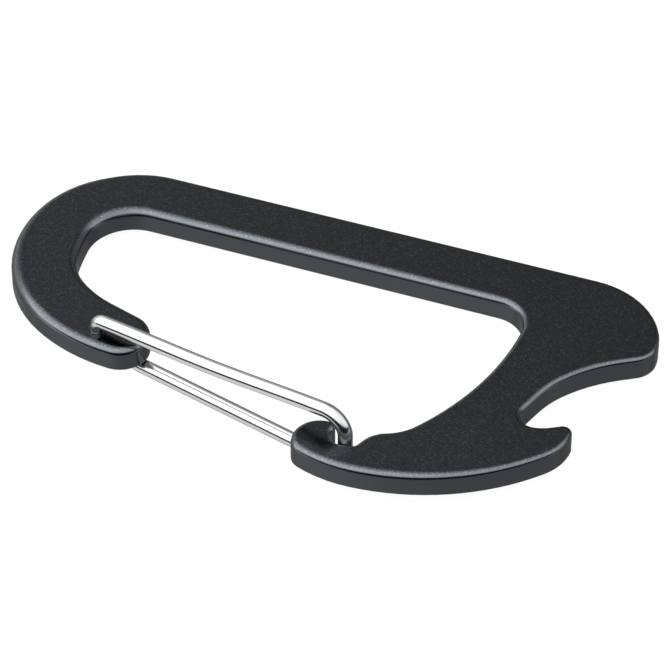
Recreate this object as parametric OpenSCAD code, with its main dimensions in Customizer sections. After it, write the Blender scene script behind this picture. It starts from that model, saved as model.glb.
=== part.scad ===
// Keyring carabiner: a flat plate body with a bottle opener at one end, and a
// sprung wire gate whose two ends sit in offset holes in the pivot arm.
// The plate lies level. X runs along the spine, and Z is up.

/* [Plate] */
// Thickness of the plate
plate_t = 3.2; // [2.8:0.1:3.6]
// Width of the straight spine
spine_w = 7.65; // [7.2:0.05:8.2]
// Distance from the middle of the object to the outer edge of the spine
spine_reach = 20.85; // [20.65:0.05:21.05]
// Where the straight spine ends on the opener side
spine_right = 29.45; // [29:0.05:30]
// Where the straight spine ends on the pivot side
spine_left = -26.25; // [-26.8:0.05:-26]

/* [Gate] */
// Diameter of the gate wire
wire_d = 1.8; // [1.5:0.1:1.8]
// Radial play of the wire in its two holes
pivot_play = 0.05; // [0.03:0.01:0.1]
// Centre of the hole that takes the upper end of the wire, which is the gate's axis
upper_hole = [-23.9, -9];
// Centre of the hole that takes the lower end of the wire
lower_hole = [-19.6, -8.4];
// Centre of the closed end of the gate, where it rests in the pocket behind the nose
catch_at = [10.6, -16.13];
// Bend radius at the two ends of the wire, to its centre line
pivot_bend_r = 1.05; // [1:0.05:1.3]
// Bend radius at the closed end of the wire, to its centre line
loop_bend_r = 2.8; // [2.4:0.1:3]
// Height above the plate at which the upper end starts to bend
upper_gap = 0.45; // [0.2:0.05:0.6]
// Depth below the plate at which the lower end starts to bend
lower_gap = 0.1; // [0.1:0.05:0.4]
// Angle at which the upper leg climbs towards the closed end
upper_slope = 2.7; // [2:0.1:3]
// Angle at which the lower leg drops towards the closed end
lower_slope = 0.5; // [0.3:0.1:0.8]
// Length of the lower leg that flexes when the gate opens
flex_len = 9; // [7:0.5:11]

/* [Hidden] */
$fn = 64;

plate_colour = [0.2, 0.21, 0.23];
wire_colour = [0.85, 0.86, 0.87];

// Largest turn and longest chord of one side of the outline
SIDE_TURN = 6;
SIDE_LENGTH = 1.5;
// How far the holes are cut past the faces of the plate
THROUGH = 1;
// Gap between the flexing end and the rest of the wire, which is one piece in the metal
FLEX_GAP = 0.02;

// The outline is walked clockwise from the spine. A row is [radius, turn] for an
// arc, with a left turn positive, or [length, 0] for a straight run.
lobe = [[10.8, -67], [6.7, -24], [3.3, -57], [1.9, 0]];
opener = [[19.9, 23], [10.9, 12], [18.1, 6], [2.7, 0], [1.9, 115], [4.9, 23], [1.2, 0]];
hook = [[1.1, -120], [6.8, -42]];
sweep = [[29.5, -46], [17, -23]];
nose = [[2.3, -49], [3.4, -111], [1, -108]];
pocket = [[1.5, 117], [1.1, 0], [0.8, 58], [1, 0]];
right_arm = [[3.9, -45], [6.1, 34], [36.9, 33], [4.3, 91]];
left_corner = [[5.8, 94], [48.3, 4], [7.2, 41]];
pivot_arm = [[13.7, 24], [4.3, 0], [3.6, -166]];
left_bow = [[22.9, -27.7], [17, -75.8], [13.4, -35.2], [21.2, -7.3], [12.8, -31]];

right_end = concat(lobe, opener, hook, sweep, nose, pocket, right_arm);
left_end = concat(left_corner, pivot_arm, left_bow);

// A pose is [x, y, heading]. This is the pose after a fraction of one row.
function along(pose, row, part) =
    let (h = pose[2], r = row[0], side = sign(row[1]), g = h + row[1] * part)
    side == 0
        ? [pose[0] + r * part * cos(h), pose[1] + r * part * sin(h), h]
        : [pose[0] + side * r * (sin(g) - sin(h)), pose[1] + side * r * (cos(h) - cos(g)), g];

// How many sides one row is drawn with
function sides(row) =
    row[1] == 0 ? 1 : ceil(max(abs(row[1]) / SIDE_TURN, row[0] * abs(row[1]) * PI / 180 / SIDE_LENGTH));

// The poses at the start of every row
function poses(start, rows) =
    [for (i = 0, p = start; i < len(rows); p = along(p, rows[i], 1), i = i + 1) p];

// The points of a whole walk
function walk(start, rows) =
    let (at = poses(start, rows))
    concat([[start[0], start[1]]],
        [for (i = [0:len(rows) - 1]) for (k = [1:sides(rows[i])])
            let (p = along(at[i], rows[i], k / sides(rows[i]))) [p[0], p[1]]]);

outline = concat(
    walk([spine_right, spine_reach, 0], right_end),
    walk([spine_left, spine_reach - spine_w, 180], left_end));

// A leg of the wire lies in one upright plane: up out of its hole, over a bend,
// along at a slope, and over a wider bend to the closed end.
function leg_turn(slope) = 90 - slope;
function leg_run(hole, slope) =
    let (a = leg_turn(slope))
    (norm(catch_at - hole) - pivot_bend_r * (1 - cos(a)) - loop_bend_r * (1 + cos(a))) / sin(a);
// Height gained from the start of the first bend to the end of the second
function leg_climb(hole, slope) =
    let (a = leg_turn(slope))
    (pivot_bend_r - loop_bend_r) * sin(a) + leg_run(hole, slope) * cos(a);
function bearing(hole) = atan2(catch_at[1] - hole[1], catch_at[0] - hole[0]);

// The plate sits so that the lowest point of the wire is at zero height
lower_depth = lower_gap + leg_climb(lower_hole, lower_slope) + loop_bend_r + wire_d / 2;
plate_z = lower_depth;
upper_start = plate_z + plate_t + upper_gap;
lower_start = plate_z - lower_gap;
loop_top = upper_start + leg_climb(upper_hole, upper_slope);
loop_foot = lower_start - leg_climb(lower_hole, lower_slope);
// A thin disc, a hair wider than the wire, welds each run to the next bend
WELD_T = 0.04;
WELD_PROUD = 0.02;
// Length of wire inside the plate
stub_in = plate_t - 0.2;

// A straight run of wire between two heights
module rod(from, to) {
    translate([0, 0, from])
        cylinder(d = wire_d, h = to - from);
}

// The weld between two runs
module weld() {
    translate([0, 0, -WELD_T / 2])
        cylinder(d = wire_d + 2 * WELD_PROUD, h = WELD_T);
}

// A bend that starts upwards at the origin and leans towards X
module bend(radius, turn) {
    translate([radius, 0, 0])
        mirror([1, 0, 0])
            rotate([90, 0, 0])
                rotate_extrude(angle = turn)
                    translate([radius, 0])
                        circle(d = wire_d);
}

// Places its children at the end of a bend
module after_bend(radius, turn) {
    translate([radius * (1 - cos(turn)), 0, radius * sin(turn)])
        rotate([0, turn, 0])
            children();
}

// The part of a leg from its hole to a length along its slope
module leg_root(slope, length) {
    a = leg_turn(slope);
    rod(-stub_in, 0);
    weld();
    bend(pivot_bend_r, a);
    after_bend(pivot_bend_r, a) {
        weld();
        rod(0, length);
    }
}

// The part of a leg from a length along its slope to the closed end
module leg_tip(slope, from, length) {
    a = leg_turn(slope);
    after_bend(pivot_bend_r, a) {
        if (from < length)
            rod(from, length);
        translate([0, 0, length]) {
            weld();
            bend(loop_bend_r, 180 - a);
        }
    }
}

module body_plate() {
    color(plate_colour)
        translate([0, 0, plate_z])
            difference() {
                linear_extrude(plate_t)
                    polygon(outline);
                for (hole = [upper_hole, lower_hole])
                    translate([hole[0], hole[1], -THROUGH])
                        cylinder(d = wire_d + 2 * pivot_play, h = plate_t + 2 * THROUGH);
            }
}

module wire_gate() {
    upper_run = leg_run(upper_hole, upper_slope);
    lower_run = leg_run(lower_hole, lower_slope);
    color(wire_colour) {
        translate([upper_hole[0], upper_hole[1], upper_start])
            rotate([0, 0, bearing(upper_hole)]) {
                leg_root(upper_slope, upper_run);
                leg_tip(upper_slope, upper_run, upper_run);
            }
        translate([catch_at[0], catch_at[1], 0]) {
            rod(loop_foot, loop_top);
            for (end = [loop_foot, loop_top])
                translate([0, 0, end])
                    weld();
        }
        translate([lower_hole[0], lower_hole[1], lower_start])
            mirror([0, 0, 1])
                rotate([0, 0, bearing(lower_hole)])
                    leg_tip(lower_slope, flex_len + FLEX_GAP, lower_run);
    }
}

module gate_flex_end() {
    color(wire_colour)
        translate([lower_hole[0], lower_hole[1], lower_start])
            mirror([0, 0, 1])
                rotate([0, 0, bearing(lower_hole)])
                    leg_root(lower_slope, flex_len);
}

body_plate();
wire_gate();
gate_flex_end();
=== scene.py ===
import math

import bmesh
import bpy
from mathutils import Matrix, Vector


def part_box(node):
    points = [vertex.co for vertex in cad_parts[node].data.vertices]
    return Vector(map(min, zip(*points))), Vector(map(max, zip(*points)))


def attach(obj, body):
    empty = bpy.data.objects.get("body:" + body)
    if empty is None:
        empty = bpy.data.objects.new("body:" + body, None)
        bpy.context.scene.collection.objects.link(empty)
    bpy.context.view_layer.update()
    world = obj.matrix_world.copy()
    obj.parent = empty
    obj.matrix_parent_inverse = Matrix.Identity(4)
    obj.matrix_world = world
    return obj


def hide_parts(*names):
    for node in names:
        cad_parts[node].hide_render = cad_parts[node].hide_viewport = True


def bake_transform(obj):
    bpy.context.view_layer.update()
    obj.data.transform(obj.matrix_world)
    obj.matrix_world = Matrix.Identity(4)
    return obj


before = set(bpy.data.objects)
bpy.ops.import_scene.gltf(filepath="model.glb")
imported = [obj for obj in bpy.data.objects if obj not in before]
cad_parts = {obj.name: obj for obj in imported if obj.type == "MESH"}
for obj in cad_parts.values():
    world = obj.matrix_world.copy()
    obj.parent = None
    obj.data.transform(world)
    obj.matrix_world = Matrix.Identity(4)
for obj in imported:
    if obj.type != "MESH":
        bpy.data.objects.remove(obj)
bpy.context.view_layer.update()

# ---------------------------------------------------------------- sizes, in metres
MM = 0.001
# Rounding of the plate's upper edge from end to end (place along X, radius), of its
# lower edge, and of the rims of its two holes
TOP_ROUND = ((-39, 1.3), (-28, 0.95), (-15, 0.8), (20, 0.75), (30, 0.6), (40, 0.45))
BOTTOM_ROUND = 0.15 * MM
RIM_ROUND = 0.14 * MM
ROUND_STEPS = 8
# A ring just past each round keeps the flat faces flat in shading
SUPPORT = 0.06 * MM
# Least cosine by which the inward step at a corner is divided
MITRE_LIMIT = 0.5

# The gate wire: the same construction as the CAD part's
WIRE_R = 0.9 * MM
UPPER_HOLE = Vector((-23.9, -9.0)) * MM
LOWER_HOLE = Vector((-19.6, -8.4)) * MM
CATCH = Vector((10.6, -16.13)) * MM
PIVOT_BEND = 1.05 * MM
LOOP_BEND = 2.8 * MM
UPPER_GAP = 0.45 * MM
LOWER_GAP = 0.1 * MM
UPPER_SLOPE = math.radians(2.7)
LOWER_SLOPE = math.radians(0.5)
STUB = 3.0 * MM
FLEX_LEN = 9.0 * MM
# How far the middle of the upper leg bows down towards the plate
BOW = 0.33 * MM
WIRE_SIDES = 32
BEND_STEP = math.radians(5)
# Rings along the flexing length of a leg, and along the rest of its straight run
FLEX_STEPS = 18
RUN_STEPS = 24
# Inset and height of the rings that soften a free end of the wire
CAP_STEPS = ((0.05 * MM, 0.08 * MM), (0.16 * MM, 0.11 * MM))
# Length of wire along which its texture coordinate grows by one
UV_LENGTH = 10 * MM

# The plane of the floor, which touches the lower leg and the far edge of the spine:
# its height under the origin, and how far it rises along X and Y
FLOOR_HEIGHT = 0.84 * MM
FLOOR_RISE_X = 0.00617
FLOOR_RISE_Y = 0.0594
FLOOR_HALF = 2.5

# The camera looks at a point of the object from a distance, along these angles
CAMERA_TARGET = Vector((1.93, 3.43, 2.29)) * MM
CAMERA_AZIMUTH = math.radians(20.68)
CAMERA_ELEVATION = math.radians(42)
CAMERA_DISTANCE = 0.5079
SENSOR_WIDTH = 36
FOCAL_LENGTH = 225.6716

plate_low, plate_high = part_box("body_plate")


# ---------------------------------------------------------------- small helpers
def new_object(name, bm):
    """A smooth-shaded object made from a bmesh."""
    mesh = bpy.data.meshes.new(name)
    bm.normal_update()
    bm.to_mesh(mesh)
    bm.free()
    for polygon in mesh.polygons:
        polygon.use_smooth = True
    obj = bpy.data.objects.new(name, mesh)
    bpy.context.scene.collection.objects.link(obj)
    return obj


def bridge(bm, ring_a, ring_b):
    """Quads between two closed rings of the same length."""
    n = len(ring_a)
    return [bm.faces.new((ring_a[i], ring_a[(i + 1) % n], ring_b[(i + 1) % n], ring_b[i]))
            for i in range(n)]


# ---------------------------------------------------------------- the plate
def face_loops(obj, height):
    """The closed loops around an object's flat face at a height, with the metal on the left."""
    mesh = obj.data

    def key(i):
        co = mesh.vertices[i].co
        return round(co.x, 7), round(co.y, 7)

    edges = set()
    for polygon in mesh.polygons:
        if all(abs(mesh.vertices[i].co.z - height) < 1e-6 for i in polygon.vertices):
            corners = [key(i) for i in polygon.vertices]
            for a, b in zip(corners, corners[1:] + corners[:1]):
                if (b, a) in edges:
                    edges.remove((b, a))
                else:
                    edges.add((a, b))
    following = dict(edges)
    loops = []
    while following:
        start, point = following.popitem()
        loop = [start]
        while point != start:
            loop.append(point)
            point = following.pop(point)
        loops.append([Vector(p) for p in loop])
    return sorted(loops, key=len, reverse=True)


def offset_rule(loop):
    """For each point of a loop, the step that moves its edge one unit into the metal."""
    steps = []
    for i, point in enumerate(loop):
        before = (point - loop[i - 1]).normalized()
        after = (loop[(i + 1) % len(loop)] - point).normalized()
        left = Vector((-before.y - after.y, before.x + after.x)).normalized()
        steps.append(left / max(MITRE_LIMIT, left.dot(Vector((-after.y, after.x)))))
    return steps


def top_round(x):
    """Radius of the upper edge at a place along X."""
    rows = [(a * MM, r * MM) for a, r in TOP_ROUND]
    for (x0, r0), (x1, r1) in zip(rows, rows[1:]):
        if x <= x1:
            part = max(0.0, (x - x0) / (x1 - x0))
            return r0 + (r1 - r0) * part
    return rows[-1][1]


def edge_profile(low, high, low_round, high_round):
    """Pairs of inset and height up the side of the plate, rounded at both ends."""
    rows = [(low_round + SUPPORT, low)]
    for k in range(ROUND_STEPS + 1):
        a = math.pi / 2 * k / ROUND_STEPS
        rows.append((low_round * (1 - math.sin(a)), low + low_round * (1 - math.cos(a))))
    rows.append((0, low + low_round + SUPPORT))
    rows.append((0, high - high_round - SUPPORT))
    for k in range(ROUND_STEPS + 1):
        a = math.pi / 2 * k / ROUND_STEPS
        rows.append((high_round * (1 - math.cos(a)), high - high_round * (1 - math.sin(a))))
    rows.append((high_round + SUPPORT, high))
    return rows


def make_plate():
    """The plate with its edges rounded, from the outline of the CAD plate."""
    low, high = plate_low.z, plate_high.z
    loops = face_loops(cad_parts["body_plate"], high)
    bm = bmesh.new()
    rims = {low: [], high: []}
    for number, loop in enumerate(loops):
        steps = offset_rule(loop)
        columns = []
        for point, step in zip(loop, steps):
            rounds = (RIM_ROUND, RIM_ROUND) if number else (BOTTOM_ROUND, top_round(point.x))
            columns.append([bm.verts.new((*(point + step * inset), z))
                            for inset, z in edge_profile(low, high, *rounds)])
        rings = list(zip(*columns))
        for ring_a, ring_b in zip(rings, rings[1:]):
            bridge(bm, ring_a, ring_b)
        rims[low].append(rings[0])
        rims[high].append(rings[-1])
    for height, rings in rims.items():
        edges = [bm.edges.get((ring[i - 1], ring[i])) for ring in rings for i in range(len(ring))]
        bmesh.ops.triangle_fill(bm, use_beauty=True, edges=edges, normal=(0, 0, 1))
    bmesh.ops.recalc_face_normals(bm, faces=bm.faces)
    return new_object("plate_body", bm)


# ---------------------------------------------------------------- the gate wire
def leg_line(hole, slope, start, up, bow):
    """Centre line of one leg, from inside its hole to the start of the upright closed end.
    It leaves the plate at height start, upwards if up is 1 and downwards if it is -1.
    Also gives the number of the point that lies the flexing length along the leg."""
    along = CATCH - hole
    reach = along.length
    along = Vector((along.x, along.y, 0)).normalized()
    turn = math.pi / 2 - slope
    run = reach - PIVOT_BEND * (1 - math.cos(turn)) - LOOP_BEND * (1 + math.cos(turn))
    run /= math.sin(turn)
    flat = [(0.0, -STUB), (0.0, -STUB / 2)]

    def arc(origin, heading, radius, total):
        count = max(2, round(total / BEND_STEP))
        x0, z0 = origin
        for k in range(count + 1):
            a = heading + total * k / count
            flat.append((x0 + radius * (math.cos(heading) - math.cos(a)),
                         z0 + radius * (math.sin(a) - math.sin(heading))))

    def straight(length, count):
        x0, z0 = flat[-1]
        for k in range(1, count + 1):
            d = length * k / count
            flat.append((x0 + d * math.sin(turn), z0 + d * math.cos(turn)))

    arc((0.0, 0.0), 0.0, PIVOT_BEND, turn)
    root = len(flat)
    straight(FLEX_LEN, FLEX_STEPS)
    seam = len(flat) - 1
    straight(run - FLEX_LEN, RUN_STEPS)
    end = flat.pop()
    for k in range(root, len(flat)):
        x, z = flat[k]
        flat[k] = (x, z - bow * math.sin(math.pi * (x - PIVOT_BEND) / run) ** 2)
    arc(end, turn, LOOP_BEND, math.pi - turn)
    points = [Vector((hole.x, hole.y, start)) + along * x + Vector((0, 0, up * z))
              for x, z in flat]
    return points, seam


def wire_line():
    """Centre line of the whole wire, from the upper hole to the lower, and where it flexes."""
    upper, _ = leg_line(UPPER_HOLE, UPPER_SLOPE, plate_high.z + UPPER_GAP, 1, BOW)
    lower, seam = leg_line(LOWER_HOLE, LOWER_SLOPE, plate_low.z - LOWER_GAP, -1, 0.0)
    points = upper + lower[::-1]
    return points, len(points) - 1 - seam


def sweep(points, radius):
    """Rings of points around a line, turned as little as possible from one to the next."""
    tangents = []
    for i in range(len(points)):
        a, b = points[max(i - 1, 0)], points[min(i + 1, len(points) - 1)]
        tangents.append((b - a).normalized())
    side = tangents[0].orthogonal().normalized()
    rings = []
    for point, tangent in zip(points, tangents):
        side = (side - tangent * side.dot(tangent)).normalized()
        other = tangent.cross(side)
        rings.append([
            point + radius * (side * math.cos(a) + other * math.sin(a))
            for a in (2 * math.pi * k / WIRE_SIDES for k in range(WIRE_SIDES))])
    return rings, tangents


def make_wire(name, rings, lengths, round_start, round_end, ends):
    """A closed tube through rings, with a softened edge at a free end."""
    bm = bmesh.new()
    uv = bm.loops.layers.uv.new("along")
    rows = [[bm.verts.new(p) for p in ring] for ring in rings]
    for i, (ring_a, ring_b) in enumerate(zip(rows, rows[1:])):
        for k, face in enumerate(bridge(bm, ring_a, ring_b)):
            for loop, (u, v) in zip(face.loops, ((k, 0), (k + 1, 0), (k + 1, 1), (k, 1))):
                loop[uv].uv = (u / WIRE_SIDES, lengths[i + v] / UV_LENGTH)
    for ring, rounded, (centre, outward) in ((rows[0], round_start, ends[0]),
                                             (rows[-1], round_end, ends[1])):
        if rounded:
            for inset, out in CAP_STEPS:
                fresh = [bm.verts.new(centre + (v.co - centre).normalized() * (WIRE_R - inset)
                                      + outward * out) for v in rows[0 if ring is rows[0] else -1]]
                bridge(bm, ring, fresh)
                ring = fresh
        cap = bm.faces.new(ring)
        for edge in cap.edges:
            edge.smooth = False
    bmesh.ops.recalc_face_normals(bm, faces=bm.faces)
    return new_object(name, bm)


def make_gate():
    """The moving wire and, apart from it, the end of the lower leg that flexes."""
    points, seam = wire_line()
    rings, tangents = sweep(points, WIRE_R)
    lengths = [0.0]
    for a, b in zip(points, points[1:]):
        lengths.append(lengths[-1] + (b - a).length)
    last = len(points) - 1
    gate = make_wire("gate_wire", rings[:seam + 1], lengths[:seam + 1], True, False,
                     ((points[0], -tangents[0]), (points[seam], tangents[seam])))
    flex = make_wire("gate_wire_flex", rings[seam:], lengths[seam:], False, True,
                     ((points[seam], -tangents[seam]), (points[last], tangents[last])))
    return gate, flex, points, seam


# ---------------------------------------------------------------- materials
def new_material(name):
    """A node material, with its node tree and its main shader."""
    material = bpy.data.materials.new(name)
    material.use_nodes = True
    tree = material.node_tree
    return material, tree, tree.nodes["Principled BSDF"]


def add(tree, kind, **values):
    """A node with its input sockets or its properties set by name."""
    node = tree.nodes.new(kind)
    for key, value in values.items():
        if key in node.inputs:
            node.inputs[key].default_value = value
        else:
            setattr(node, key, value)
    return node


def ramp(tree, source, stops):
    """A colour ramp through (position, colour) stops, fed by a socket."""
    node = tree.nodes.new("ShaderNodeValToRGB")
    elements = node.color_ramp.elements
    while len(elements) < len(stops):
        elements.new(0.5)
    for element, (position, colour) in zip(elements, stops):
        element.position = position
        element.color = (*colour, 1)
    tree.links.new(source, node.inputs["Fac"])
    return node.outputs["Color"]


def map_range(tree, source, start, end, low=0.0, high=1.0):
    """A socket's value, carried from one range to another and clamped to it."""
    node = tree.nodes.new("ShaderNodeMapRange")
    for name, value in (("From Min", start), ("From Max", end), ("To Min", low), ("To Max", high)):
        node.inputs[name].default_value = value
    tree.links.new(source, node.inputs["Value"])
    return node.outputs["Result"]


def bump_by(tree, source, strength, distance, shader):
    """Raises a shader's surface by a socket; a strength may be a number or a socket."""
    bump = add(tree, "ShaderNodeBump", Distance=distance)
    if isinstance(strength, float):
        bump.inputs["Strength"].default_value = strength
    else:
        tree.links.new(strength, bump.inputs["Strength"])
    tree.links.new(source, bump.inputs["Height"])
    tree.links.new(bump.outputs["Normal"], shader.inputs["Normal"])


def grey(value):
    """The cool grey of the anodised skin, at a brightness."""
    return value * 0.93, value, value * 1.07


# Brightness of the plate's skin by how level the surface is, from the cut walls (0)
# over the rounded edges to the blasted faces (1). The rounded edges are made brighter
# than the metal's own dark tone: a painted highlight along the edge
SKIN_AND_EDGE_HIGHLIGHT = (
    (0.0, 0.085), (0.12, 0.095), (0.3, 0.24), (0.7, 0.24), (0.81, 0.21), (0.89, 0.165),
    (0.956, 0.1), (0.995, 0.048), (1.0, 0.046))
# Brightness of the grains by noise value, and the level that leaves the skin as it is
GRAINS = ((0.36, 0.28), (0.52, 0.36), (0.62, 0.48), (0.74, 1.0))
GRAIN_LEVEL = 0.38
# Height of the texture of either metal
BUMP_HEIGHT = 0.01 * MM


def anodised_material():
    """Aluminium anodised black: bead-blasted faces with fine bright grains, rounded edges
    brightened as a painted highlight, and plain cut walls. How steep the surface is says which of
    the three it is."""
    material, tree, shader = new_material("black_anodised")
    shader.inputs["Metallic"].default_value = 1.0
    place = add(tree, "ShaderNodeTexCoord")
    grain = add(tree, "ShaderNodeTexNoise", Scale=5200.0, Detail=2.0, Roughness=0.6)
    patch = add(tree, "ShaderNodeTexNoise", Scale=120.0, Detail=2.0, Roughness=0.5)
    for texture in (grain, patch):
        tree.links.new(place.outputs["Object"], texture.inputs["Vector"])
    normal = add(tree, "ShaderNodeSeparateXYZ")
    tree.links.new(place.outputs["Normal"], normal.inputs["Vector"])
    flat = add(tree, "ShaderNodeMath", operation="ABSOLUTE")
    tree.links.new(normal.outputs["Z"], flat.inputs[0])
    # Painted highlight: the rounded edges get a brighter skin than the flat faces and the walls
    skin_and_highlight = ramp(tree, flat.outputs["Value"], [(level, grey(value)) for level, value in SKIN_AND_EDGE_HIGHLIGHT])
    blasted = map_range(tree, flat.outputs["Value"], 0.5, 0.95)
    grains = ramp(tree, grain.outputs["Fac"], [(noise, (value,) * 3) for noise, value in GRAINS])
    # Only the blasted faces show the grains
    worn = add(tree, "ShaderNodeMix", data_type="RGBA")
    worn.inputs["A"].default_value = (GRAIN_LEVEL, GRAIN_LEVEL, GRAIN_LEVEL, 1)
    tree.links.new(blasted, worn.inputs["Factor"])
    tree.links.new(grains, worn.inputs["B"])
    product = add(tree, "ShaderNodeVectorMath", operation="MULTIPLY")
    tree.links.new(skin_and_highlight, product.inputs[0])
    tree.links.new(worn.outputs["Result"], product.inputs[1])
    colour = add(tree, "ShaderNodeVectorMath", operation="SCALE")
    colour.inputs["Scale"].default_value = 1 / GRAIN_LEVEL
    tree.links.new(product.outputs["Vector"], colour.inputs[0])
    tree.links.new(colour.outputs["Vector"], shader.inputs["Base Color"])
    gloss = map_range(tree, patch.outputs["Fac"], 0.3, 0.7, 0.17, 0.22)
    tree.links.new(gloss, shader.inputs["Roughness"])
    bump_by(tree, grain.outputs["Fac"], blasted, BUMP_HEIGHT, shader)
    return material


def wire_material():
    """Polished stainless wire, with faint lines along it from the drawing die."""
    material, tree, shader = new_material("polished_wire")
    shader.inputs["Metallic"].default_value = 1.0
    place = add(tree, "ShaderNodeUVMap", uv_map="along")
    stretch = add(tree, "ShaderNodeMapping")
    stretch.inputs["Scale"].default_value = (40.0, 1.2, 1.0)
    tree.links.new(place.outputs["UV"], stretch.inputs["Vector"])
    lines = add(tree, "ShaderNodeTexNoise", Scale=1.0, Detail=3.0, Roughness=0.6)
    tree.links.new(stretch.outputs["Vector"], lines.inputs["Vector"])
    colour = ramp(tree, lines.outputs["Fac"], (
        (0.3, (0.72, 0.72, 0.73)), (0.7, (0.82, 0.82, 0.83))))
    tree.links.new(colour, shader.inputs["Base Color"])
    gloss = map_range(tree, lines.outputs["Fac"], 0.0, 1.0, 0.08, 0.2)
    tree.links.new(gloss, shader.inputs["Roughness"])
    bump_by(tree, lines.outputs["Fac"], 0.08, BUMP_HEIGHT, shader)
    return material


def floor_material():
    """A white table lit from below as well, so that it hardly takes a shadow."""
    material, tree, shader = new_material("pale_floor")
    shader.inputs["Base Color"].default_value = (0.12, 0.12, 0.12, 1)
    shader.inputs["Roughness"].default_value = 0.9
    shader.inputs["Specular IOR Level"].default_value = 0.0
    shader.inputs["Emission Color"].default_value = (1, 1, 1, 1)
    shader.inputs["Emission Strength"].default_value = 0.95
    return material


# ---------------------------------------------------------------- stage, light and camera
def make_floor():
    """A pale floor under the lower leg of the wire and the far edge of the spine."""
    bm = bmesh.new()
    corners = [(x * FLOOR_HALF, y * FLOOR_HALF) for x, y in ((-1, -1), (1, -1), (1, 1), (-1, 1))]
    bm.faces.new([bm.verts.new((x, y, FLOOR_HEIGHT + FLOOR_RISE_X * x + FLOOR_RISE_Y * y))
                  for x, y in corners])
    floor = new_object("floor", bm)
    floor.data.materials.append(floor_material())
    # The metal mirrors the studio under the table's edge instead
    floor.visible_glossy = False


# Brightness of the studio by angle round the object, from the far horizon under
# the table (-180 degrees) to the front horizon (0), overhead (90) and back (180)
STUDIO = (
    (-180, 0.3), (-140, 0.2), (-105, 0.4), (-85, 0.62), (-50, 0.68), (-40, 0.62), (-34, 0.4),
    (-29, 0.01), (6, 0.01), (12, 0.6), (18, 1.05), (35, 1.25), (60, 1.35), (110, 1.3),
    (124, 1.15), (131, 0.85), (138, 0.5), (150, 0.4), (180, 0.35))
STUDIO_PEAK = 1.4
# How the brightness changes from left to right: the reach of the change to either side,
# and the factor at the left and at the right. The front fades gently, and the back,
# which the flat face mirrors, faster.
FRONT_TILT = (0.5, 1.2, 0.8)
BACK_TILT = (0.2, 1.7, 0.5)
# The angles round the object over which the front gives way to the back
BACK_FROM, BACK_TO = math.radians(105), math.radians(130)


def make_lights():
    """One soft dome: a wide panel in front, fading overhead, and brighter on the left."""
    world = bpy.data.worlds.new("studio")
    bpy.context.scene.world = world
    world.use_nodes = True
    tree = world.node_tree
    front = (math.sin(CAMERA_AZIMUTH), -math.cos(CAMERA_AZIMUTH), 0)
    right = (math.cos(CAMERA_AZIMUTH), math.sin(CAMERA_AZIMUTH), 0)
    place = add(tree, "ShaderNodeTexCoord")
    towards = []
    for axis in (front, right, (0, 0, 1)):
        dot = add(tree, "ShaderNodeVectorMath", operation="DOT_PRODUCT")
        dot.inputs[1].default_value = axis
        tree.links.new(place.outputs["Generated"], dot.inputs[0])
        towards.append(dot.outputs["Value"])
    to_front, to_right, to_top = towards
    arctangent = add(tree, "ShaderNodeMath", operation="ARCTAN2")
    tree.links.new(to_top, arctangent.inputs[0])
    tree.links.new(to_front, arctangent.inputs[1])
    angle = arctangent.outputs["Value"]
    around = map_range(tree, angle, -math.pi, math.pi)
    colour = ramp(tree, around, [
        ((a + 180) / 360, (v / STUDIO_PEAK, v / STUDIO_PEAK * 1.01, v / STUDIO_PEAK * 1.03))
        for a, v in STUDIO])
    choice = add(tree, "ShaderNodeMix", data_type="FLOAT")
    tree.links.new(map_range(tree, angle, BACK_FROM, BACK_TO), choice.inputs["Factor"])
    for socket, (reach, left_side, right_side) in (("A", FRONT_TILT), ("B", BACK_TILT)):
        tilt = map_range(tree, to_right, -reach, reach,
                         left_side * STUDIO_PEAK, right_side * STUDIO_PEAK)
        tree.links.new(tilt, choice.inputs[socket])
    background = tree.nodes["Background"]
    tree.links.new(colour, background.inputs["Color"])
    tree.links.new(choice.outputs["Result"], background.inputs["Strength"])


def make_camera():
    """The camera of the main view."""
    camera = bpy.data.cameras.new("camera")
    camera.sensor_width = SENSOR_WIDTH
    camera.lens = FOCAL_LENGTH
    camera.clip_start = 0.01
    obj = bpy.data.objects.new("camera", camera)
    level = math.cos(CAMERA_ELEVATION)
    back = Vector((math.sin(CAMERA_AZIMUTH) * level, -math.cos(CAMERA_AZIMUTH) * level,
                   math.sin(CAMERA_ELEVATION)))
    obj.location = CAMERA_TARGET + back * CAMERA_DISTANCE
    obj.rotation_mode = "QUATERNION"
    obj.rotation_quaternion = (-back).to_track_quat("-Z", "Y")
    bpy.context.scene.collection.objects.link(obj)
    bpy.context.scene.camera = obj


# ---------------------------------------------------------------- build
plate = make_plate()
plate.data.materials.append(anodised_material())
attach(plate, "frame")
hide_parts("body_plate")

steel = wire_material()
gate, flex, line, seam = make_gate()
for part in (gate, flex):
    part.data.materials.append(steel)
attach(gate, "gate")
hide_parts("wire_gate")
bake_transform(flex)
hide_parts("gate_flex_end")

make_floor()
make_lights()
make_camera()
bpy.context.scene.view_settings.view_transform = "Standard"
